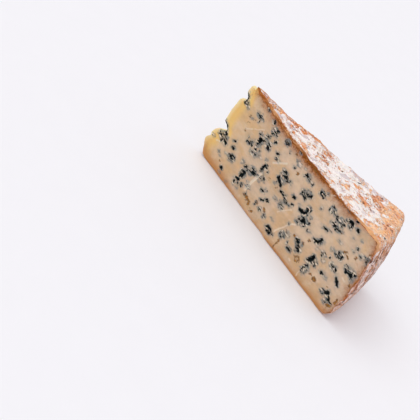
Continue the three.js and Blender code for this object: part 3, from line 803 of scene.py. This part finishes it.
class Graph:
    """Adds nodes to one node tree and links them. Colours can be given by their names."""

    def __init__(self, tree, colours=None):
        self.tree = tree
        self.colours = colours

    def feed(self, node, sockets):
        """Feeds the node's sockets, given by name or by number, with values or constants."""
        for name, value in sockets.items():
            if isinstance(value, str):
                value = (*getattr(self.colours, value), 1.0)
            if isinstance(value, Value):
                self.tree.links.new(value.socket, node.inputs[name])
            else:
                node.inputs[name].default_value = value

    def add(self, kind, sockets, **settings):
        """Adds a node with its settings, and gives its outputs by name and by number."""
        node = self.tree.nodes.new("ShaderNode" + kind)
        for name, value in settings.items():
            setattr(node, name, value)
        self.feed(node, sockets)
        outputs = [*node.outputs.items(), *enumerate(node.outputs)]
        return {key: Value(self, socket) for key, socket in outputs}

    def attribute(self, name):
        return self.add("Attribute", {}, attribute_name=name)["Fac"]

    def stretched(self, scale):
        """Object coordinates in metres, stretched by scale."""
        place = self.add("TexCoord", {})["Object"]
        return self.add("Mapping", {"Vector": place, "Scale": scale})["Vector"]

    def bent(self, vector, scale, share):
        """A vector moved a little by noise."""
        bend = self.add("TexNoise", {"Vector": vector, "Scale": scale})["Color"]
        return self.add("Mix", {0: share, 4: vector, 5: bend}, data_type="VECTOR")[1]

    def cloud(self, vector, scale, detail=3.0, roughness=0.55, distortion=0.0):
        return self.add("TexNoise", {
            "Vector": vector, "Scale": scale, "Detail": detail, "Roughness": roughness,
            "Distortion": distortion,
        })["Fac"]

    def cells(self, vector, scale, feature="F1"):
        return self.add("TexVoronoi", {"Vector": vector, "Scale": scale}, feature=feature)

    def chance(self, cells):
        """A random value for each cell."""
        return self.add("SeparateColor", {0: cells["Color"]})[0]

    def step(self, value, low, high, start=0.0, end=1.0, interpolation="SMOOTHSTEP"):
        """A step of value, soft unless told otherwise, from start at low to end at high."""
        return self.add("MapRange", {
            "Value": value, "From Min": low, "From Max": high, "To Min": start, "To Max": end,
        }, interpolation_type=interpolation)["Result"]

    def math(self, operation, first, second):
        return self.add("Math", {0: first, 1: second}, operation=operation)[0]

    def most(self, *values):
        """The highest of some values."""
        first, *others = values
        for other in others:
            first = self.math("MAXIMUM", first, other)
        return first

    def mix(self, factor, under, over, blend="MIX"):
        return self.add("Mix", {0: factor, 6: under, 7: over}, data_type="RGBA", blend_type=blend)[2]

    def over(self, under, colour, value, *step):
        """A colour laid over another as far as a step of value says."""
        return self.mix(self.step(value, *step), under, colour)

    def toned(self, colour, tone, share=1.0):
        """A colour made darker or lighter by tone, in full or in part."""
        tint = self.add("CombineColor", {0: tone, 1: tone, 2: tone})[0]
        return self.mix(share, colour, tint, "MULTIPLY")

    def bump(self, height, strength, distance):
        return self.add("Bump", {"Height": height, "Strength": strength, "Distance": distance})["Normal"]

    def call(self, group, **sockets):
        return self.add("Group", sockets, node_tree=group)


def new_group(name, outputs, **inputs):
    """A shader node group with a Vector, named inputs with their defaults, and named outputs: its
    graph, its inputs as values, and the node that its outputs are fed to."""
    tree = bpy.data.node_groups.new(name, "ShaderNodeTree")
    tree.interface.new_socket(name="Vector", in_out="INPUT", socket_type="NodeSocketVector")
    for socket, default in inputs.items():
        made = tree.interface.new_socket(name=socket, in_out="INPUT", socket_type="NodeSocketFloat")
        made.default_value = default
    for socket in outputs:
        tree.interface.new_socket(name=socket, in_out="OUTPUT", socket_type="NodeSocketFloat")
    graph = Graph(tree)
    entry = tree.nodes.new("NodeGroupInput").outputs
    entry = {key: Value(graph, entry[key]) for key in ("Vector", *inputs)}
    return graph, entry, tree.nodes.new("NodeGroupOutput")


def speck_group():
    """Small irregular dots, as of old mould on a rind or of pin holes in a paste."""
    graph, entry, leave = new_group("Specks", ["Mask"], Scale=200.0, Amount=0.3, Size=0.25)
    cells = graph.cells(graph.bent(entry["Vector"], 900.0, 0.0012), entry["Scale"])
    few = graph.math("LESS_THAN", graph.chance(cells), entry["Amount"])
    dot = graph.step(cells["Distance"], entry["Size"] * 0.45, entry["Size"], 1.0, 0.0, "LINEAR")
    graph.feed(leave, {"Mask": few * dot})
    return graph.tree


def grain_group():
    """Fine crumbly grain: a height for bump, and a tone around one half for colour."""
    graph, entry, leave = new_group("Crumbly grain", ["Height", "Tone"], Scale=300.0)
    coarse = graph.cloud(entry["Vector"], entry["Scale"], 4.0, 0.6)
    cells = graph.cells(entry["Vector"], entry["Scale"], "SMOOTH_F1")
    tone = graph.cloud(entry["Vector"], 60.0, 5.0, 0.65, 0.4)
    graph.feed(leave, {"Height": cells["Distance"] * 0.5 + coarse, "Tone": tone})
    return graph.tree


def curd_group():
    """Angular crumbs of curd: the gap to a crumb's edge, and a random value for each crumb."""
    graph, entry, leave = new_group("Curd", ["Edge", "Chance"], Scale=450.0)
    bent = graph.bent(entry["Vector"], 700.0, 0.0011)
    sides = graph.cells(bent, entry["Scale"], "DISTANCE_TO_EDGE")
    cells = graph.cells(bent, entry["Scale"])
    graph.feed(leave, {"Edge": sides["Distance"], "Chance": graph.chance(cells)})
    return graph.tree


def new_material(name, colours):
    material = bpy.data.materials.new(name)
    material.use_nodes = True
    return material, Graph(material.node_tree, colours), material.node_tree.nodes["Principled BSDF"]


def paste_material(colours, groups):
    """Moist paste: cream with riper and greyer patches, brown under the rind with painted shade under the
    rind's edge, yellow where it is thin with a painted glow of light shining through, with black splintered
    pockets among pale crumbs, some of them painted highlights, and blue-grey haze."""
    material, graph, shader = new_material("paste", colours)
    place = graph.stretched((1, 1, 1))
    fine = graph.cloud(place, 900.0, 3.0, 0.65)
    medium = graph.cloud(place, 230.0, 3.0, 0.6)
    lying = graph.cloud(graph.stretched((0.45, 0.45, 1.8)), 560.0, 4.0, 0.6)
    fray = fine * 0.9 - 0.45
    grain_out = graph.call(groups["grain"], Vector=place, Scale=420.0)
    curd = graph.call(groups["curd"], Vector=graph.stretched((0.6, 0.6, 1.35)), Scale=480.0)
    field = graph.attribute("mould")
    under_rind = graph.attribute("ripe")

    # The clean paste, the thin paste of the tip with its painted glow, and the browning at the base and
    # under the rind, with painted shade under the rind's edge.
    patches = graph.cloud(graph.stretched((0.7, 0.7, 1)), 42.0, 4.0, 0.6, 0.8)
    colour = graph.over("paste", "paste_warm", patches, 0.42, 0.62)
    greying = graph.cloud(graph.stretched((0.8, 0.8, 1.1)), 70.0, 4.0, 0.6)
    # Greyer in random patches, near the mould and under the rind, where part of the greying is painted
    # shade.
    greying = graph.most(
        graph.step(greying, 0.5, 0.72, 0.0, 0.6),
        graph.step(field, 1.0, 5.0, 0.45, 0.0),
        graph.step(under_rind, 0.04, 0.5, 0.0, 0.8),
    )
    colour = graph.mix(greying, colour, "paste_grey")
    dragged = graph.cloud(graph.stretched((0.5, 0.5, 1.1)), 330.0, 4.0, 0.7)
    dragged = graph.step(dragged, 0.36, 0.62, -0.05, 0.035)
    colour = graph.toned(colour, dragged + graph.step(grain_out["Tone"], 0.3, 0.7, 0.92, 1.06))
    thin = graph.attribute("thin")
    # The tip's yellow and its paler edge: partly the paste's colour, partly painted glow of light through
    # the thin paste.
    colour = graph.over(colour, "tip", thin, 0.1, 0.7, 0.0, 0.95)
    colour = graph.over(colour, "tip_edge_and_glow", thin, 0.85, 1.35, 0.0, 0.8)
    foot = medium * 0.5 - 0.25 + graph.attribute("foot")
    colour = graph.over(colour, "foot", foot, 0.0, 1.0, 0.0, 0.9)
    # The ragged band under the rind: browned paste with painted shade under the rind's edge.
    ripe = medium * 0.8 + fine * 0.5 - 0.68 + under_rind
    beads = fine * 2.4 + ripe - 1.2
    brown = graph.over("ripe_tan", "ripe", beads, 0.45, 1.0)
    colour = graph.over(colour, brown, ripe, 0.04, 0.97)
    browned = graph.over("crust", "ripe", ripe, 0.3, 1.0, 0.0, 0.75)
    crust = graph.attribute("rind_gap") + fray
    colour = graph.over(colour, browned, crust, 0.4, 1.2, 1.0, 0.0)

    # Channels, seams and hollows.
    # Channels and seams take the pale crumb colour, partly as painted highlight along their raised side.
    channel = graph.attribute("channel") + fray
    colour = graph.over(colour, "crumb", channel, -0.5, 0.5, 0.75, 0.0)
    seam = graph.attribute("seam") + fray
    colour = graph.over(colour, "crumb", seam, -0.3, 0.5, 0.5, 0.0)
    splinters = (0.52 - lying) * 5.0 + curd["Edge"] * 0.8 + fray
    hollow = graph.attribute("hollow") - 0.35 + splinters
    colour = graph.over(colour, "hollow_edge", hollow, -0.1, 0.45, 0.9, 0.0)
    floor = graph.over("hollow", "hollow_edge", fine, 0.48, 0.58, 0.0, 0.75)
    colour = graph.over(colour, floor, hollow, -0.8, -0.1, 1.0, 0.0)

    # Haze, pale crumbs in it that are partly painted highlights on the pockets' edges, and the dark,
    # splintered mould.
    cloudy = (lying - 0.5) * 5.0 + field
    hazy = graph.step(cloudy, 0.1, 2.1, 0.84, 0.0) * graph.step(curd["Chance"], 0.1, 0.9, 0.5, 0.9)
    colour = graph.mix(hazy, colour, "haze")
    # Pale crumbs at the pockets' edges: partly the curd's own colour, partly painted highlights where light
    # catches torn edges.
    crumbs = graph.step(field, 0.5, 1.3, 1.0, 0.0) * graph.step(curd["Chance"], 0.34, 0.26)
    crumbs = crumbs * graph.step(curd["Edge"], 0.05, 0.16)
    colour = graph.mix(crumbs * 0.75, colour, "crumb")
    dark = graph.step(field - 0.4 + splinters, -0.08, 0.1, 1.0, 0.0)
    dusty = graph.step(graph.cloud(place, 640.0, 2.0), 0.5, 0.75, 0.0, 0.5)
    colour = graph.mix(dark, colour, graph.mix(dusty, "mould", "mould_dust"))

    dull = graph.most(dark, graph.step(ripe, 0.1, 0.9))
    near = graph.step(field, 0.5, 2.5, 1.0, 0.0)
    height = curd["Edge"] * near * 2.0 + grain_out["Height"]
    graph.feed(shader, {
        "Base Color": colour,
        "Roughness": graph.most(graph.step(fine, 0.3, 0.7, 0.42, 0.6), dark * 0.9),
        "Specular IOR Level": graph.step(dull, 0.0, 1.0, 0.32, 0.06),
        "Subsurface Weight": 0.25,
        "Subsurface Radius": (1.0, 0.55, 0.25),
        "Subsurface Scale": 1.6 * MM,
        "Normal": graph.bump(height, 0.7, 0.4 * MM),
    })
    return material


def rind_material(colours, groups):
    """Natural rind: orange under a flaking white bloom on the top, pinkish brown with streaks of
    bloom down the rim, with lilac stains, rust and dark specks."""
    material, graph, shader = new_material("rind", colours)
    place = graph.stretched((0.8, 1, 1))
    grain_out = graph.call(groups["grain"], Vector=place, Scale=520.0)
    fine = graph.cloud(place, 900.0, 3.0, 0.65)
    small = graph.cloud(place, 260.0, 4.0, 0.65, 0.4)
    crumbly = graph.cloud(place, 460.0, 4.0, 0.7)
    flakes = graph.cloud(place, 140.0, 4.0, 0.62, 0.5)
    broad = graph.cloud(place, 48.0, 3.0, 0.55, 0.7)
    streaks = graph.cloud(graph.stretched((1, 1, 0.38)), 360.0, 4.0, 0.66, 0.3)
    fray = small * 5.0 - 2.5

    # Where the rind is rim, low or high, and where it is orange, rusty or bloomed.
    down = graph.attribute("rim_down")
    up = graph.add("SeparateXYZ", {0: place})["Z"]
    low = graph.step(up, 8 * MM, 36 * MM, 1.0, 0.0)
    high = graph.step(up, 52 * MM, 72 * MM)
    orange_gap = graph.attribute("orange")
    orange = graph.step(orange_gap + fray, -1.6, 1.6, 1.0, 0.0)
    rusty = graph.step(graph.attribute("rust") + fray, -1.2, 1.2, 1.0, 0.0)
    white = graph.step(graph.attribute("bloom") + fray, -1.2, 1.2, 1.0, 0.0)

    # Where the bloom holds: in flakes on the top and in streaks down the rim.
    flaky = crumbly * 0.48 + flakes * 0.32 + broad * 0.2 - orange * 0.085 - rusty * 0.06 + white * 0.1
    streaky = streaks * 0.5 + flakes * 0.35 + fine * 0.15 - 0.03 + white * 0.08 - high * 0.03
    holding = graph.add("Mix", {0: down, 2: flaky, 3: streaky})[0]
    bloom = graph.step(holding, 0.442, 0.476)

    # The bare rind, and the white bloom over it.
    golden = orange * 0.09 + graph.cloud(place, 110.0, 4.0, 0.6, 0.5)
    top = graph.over("rind", "rind_golden", golden, 0.42, 0.62)
    tanned = high * 0.12 + graph.cloud(graph.stretched((1, 1, 0.6)), 140.0, 4.0, 0.65, 0.4)
    side = graph.over("rim", "rim_tan", tanned, 0.44, 0.58)
    under = graph.mix(down, top, graph.mix(low, side, "rim_foot"))
    red = graph.step(graph.cloud(place, 330.0, 4.0, 0.65), 0.49, 0.6, 0.0, 0.85)
    red = red * graph.most(orange * 0.32 + rusty * 0.65 + 0.35, down) * (1.0 - low * 0.6)
    under = graph.mix(red, under, "rust")
    film = graph.step(graph.cloud(place, 380.0, 4.0, 0.7), 0.4, 0.66, 0.0, 0.34) * (1.0 - down * 0.6)
    cover = graph.mix(low * down * 0.4, graph.mix(down, "bloom", "rim_bloom"), "rim_foot")
    covered = graph.most(bloom * 0.94, film)
    colour = graph.mix(covered, under, cover)
    spotted = crumbly * 5.0 + graph.attribute("spots") - 2.5
    spotted = graph.step(spotted, -0.9, 0.5, 1.0, 0.0) * graph.step(fine, 0.58, 0.46, 0.1, 0.75)
    colour = graph.mix(spotted, colour, "orange")
    tone = graph.step(fine * 0.5 + small * 0.5, 0.36, 0.6, 0.79, 1.13)
    colour = graph.toned(colour, tone, down * 0.3 + 0.7)
    stained = graph.step(graph.attribute("stain") + fray, -1.0, 1.5, 0.26, 0.0)
    stained = graph.step(graph.cloud(place, 170.0, 4.0, 0.65, 0.5) + stained, 0.55, 0.7, 0.0, 0.65)
    stained = stained * graph.step(covered, 0.3, 0.8) * graph.step(orange_gap, -4.0, 1.0, 0.2, 1.0)
    colour = graph.mix(stained, colour, "stain")

    # Rusty scratches, dark specks and slits.
    bare_rind = 1.0 - white * 0.75
    often = graph.step(graph.cloud(place, 90.0, 3.0), 0.42, 0.6, 0.1, 0.7) + rusty * 0.7 + orange * 0.14
    scratched = graph.step(graph.cloud(graph.stretched((0.9, 1.4, 1.2)), 620.0, 4.0, 0.7), 0.54, 0.61)
    colour = graph.mix(scratched * often * bare_rind, colour, "rust")
    pitted = often * often * bare_rind * 0.42
    specks = graph.call(groups["specks"], Vector=place, Scale=500.0, Amount=pitted, Size=0.38)["Mask"]
    drawn = graph.step(crumbly * 3.0 + graph.attribute("speck") - 1.5, -0.3, 0.3, 1.0, 0.0)
    slits = graph.cloud(graph.stretched((1.4, 1.4, 0.4)), 520.0, 3.0, 0.6)
    specks = graph.most(specks, drawn, graph.step(slits, 0.55, 0.6) * down)
    colour = graph.mix(specks * 0.86, colour, "speck")

    # The bare, browned edge beside a cut, and the bare paste at the tip in the tip's edge colour with its
    # painted glow.
    near = graph.step(graph.attribute("cut_gap") - small * 2.0, 0.4, 3.4, 1.0, 0.0)
    browned = graph.step(graph.attribute("ripe"), 0.3, 1.0, 0.0, 0.85) * near
    browned = graph.mix(browned, "crust", "ripe")
    browned = graph.over(browned, "rind_golden", holding, 0.5, 0.6, 0.0, 0.4)
    browned = graph.over(browned, "rind_golden", orange_gap, 10.0, -8.0, 0.0, 0.7)
    streaked = graph.over("rust", "rim_tan", crumbly, 0.42, 0.6, 0.0, 0.8)
    streaked = graph.over(streaked, "rim_bloom", streaks, 0.5, 0.6, 0.0, 0.7)
    browned = graph.mix(down, browned, streaked)
    ragged = graph.attribute("edge_gap") + small * 5.0 - 2.5
    colour = graph.over(colour, browned, ragged, -0.9, 0.9, 1.0, 0.0)
    bare = graph.attribute("bare") + fine * 0.8 - 0.4
    colour = graph.over(colour, "tip_edge_and_glow", bare, -0.3, 0.2)

    height = grain_out["Height"] + bloom * 0.8 - specks * 0.8
    graph.feed(shader, {
        "Base Color": colour,
        "Roughness": graph.step(bloom, 0.0, 1.0, 0.58, 0.88),
        "Specular IOR Level": 0.08,
        "Subsurface Weight": 0.12,
        "Subsurface Radius": (1.0, 0.5, 0.3),
        "Subsurface Scale": 1.2 * MM,
        "Normal": graph.bump(height, 0.8, 0.5 * MM),
    })
    return material


class CHEESE_OT_make_wedge(bpy.types.Operator):
    """Make the wedge: a block whose net is drawn, set on the wedge's skin and pitted with pockets"""

    bl_idname = "cheese.make_wedge"
    bl_label = "Make wedge"

    def execute(self, context):
        colours = context.scene.cheese_colours
        groups = {"specks": speck_group(), "grain": grain_group(), "curd": curd_group()}
        wedge = drawn_block((paste_material(colours, groups), rind_material(colours, groups)))
        wedge.name = wedge.data.name = "blue_cheese_wedge"
        dress_skin(wedge, context.scene.cheese_shape)
        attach(wedge, "root")
        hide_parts(NODE)
        return {"FINISHED"}


# The camera's place and turn, in the wedge's own frame.
CAMERA_PLACE = Vector((329.6, -525.3, 355.1))
CAMERA_LOOK = Vector((-0.394, 0.742, -0.542))
CAMERA_UP = Vector((-0.744, 0.089, 0.662))
KEY_FROM = Vector((-0.36, -0.14, 0.92))
KEY_SPREAD = math.radians(60)
KEY_COLOUR, SKY_COLOUR = (0.93, 1.0, 0.975), (1.0, 0.96, 0.975, 1.0)
FLOOR_SIZE = 6.0


class CHEESE_OT_set_stage(bpy.types.Operator):
    """Set the stage: camera, floor, a large soft lamp above and behind, and light all round"""

    bl_idname = "cheese.set_stage"
    bl_label = "Set stage"

    def execute(self, context):
        scene, stage = context.scene, context.scene.cheese_stage
        deselect_all()
        bpy.ops.object.camera_add()
        camera = context.object
        camera.name = "camera"
        camera.data.lens = stage.lens
        look = CAMERA_LOOK.normalized()
        right = look.cross(CAMERA_UP).normalized()
        turn = Matrix((right, right.cross(look), -look)).transposed().to_4x4()
        place = (CAMERA_PLACE + APEX) * MM
        camera.matrix_world = Matrix.Translation(place) @ turn
        scene.camera = camera

        bpy.ops.object.light_add(type="SUN")
        key = context.object
        key.name = "key_lamp"
        key.data.angle = KEY_SPREAD
        key.data.energy = stage.key
        key.data.color = KEY_COLOUR
        key.rotation_euler = KEY_FROM.to_track_quat("Z", "Y").to_euler()

        bpy.ops.mesh.primitive_plane_add(size=FLOOR_SIZE)
        floor = context.object
        floor.name = "floor"
        material, graph, shader = new_material("floor", stage)
        pale = graph.step(graph.cloud(graph.stretched((1, 1, 1)), 40.0), 0.0, 1.0, 0.985, 1.0)
        graph.feed(shader, {"Base Color": graph.toned("floor", pale), "Roughness": 0.9})
        floor.data.materials.append(material)

        world = scene.world or bpy.data.worlds.new("light_all_round")
        scene.world = world
        world.use_nodes = True
        sky = world.node_tree.nodes["Background"]
        sky.inputs["Color"].default_value = SKY_COLOUR
        sky.inputs["Strength"].default_value = stage.sky
        scene.view_settings.view_transform = "Standard"
        return {"FINISHED"}


class CHEESE_PT_panel(bpy.types.Panel):
    """Lists the steps and their settings"""

    bl_idname = "CHEESE_PT_panel"
    bl_label = "Blue cheese wedge"
    bl_space_type = "VIEW_3D"
    bl_region_type = "UI"
    bl_category = "Cheese"

    def draw(self, context):
        layout = self.layout
        for settings, kind in SETTINGS.items():
            box = layout.box()
            for name in kind.__annotations__:
                box.prop(getattr(context.scene, settings), name)
        for operator in OPERATORS:
            layout.operator(operator.bl_idname)


SETTINGS = {"cheese_shape": CheeseShape, "cheese_colours": CheeseColours, "cheese_stage": CheeseStage}
OPERATORS = (CHEESE_OT_make_wedge, CHEESE_OT_set_stage)


def register():
    for kind in (*SETTINGS.values(), *OPERATORS, CHEESE_PT_panel):
        bpy.utils.register_class(kind)
    for name, kind in SETTINGS.items():
        setattr(bpy.types.Scene, name, PointerProperty(type=kind))


def unregister():
    for name in SETTINGS:
        delattr(bpy.types.Scene, name)
    for kind in (CHEESE_PT_panel, *reversed(OPERATORS), *SETTINGS.values()):
        bpy.utils.unregister_class(kind)


def main():
    register()
    bpy.ops.cheese.make_wedge()
    bpy.ops.cheese.set_stage()


if __name__ == "__main__":
    main()
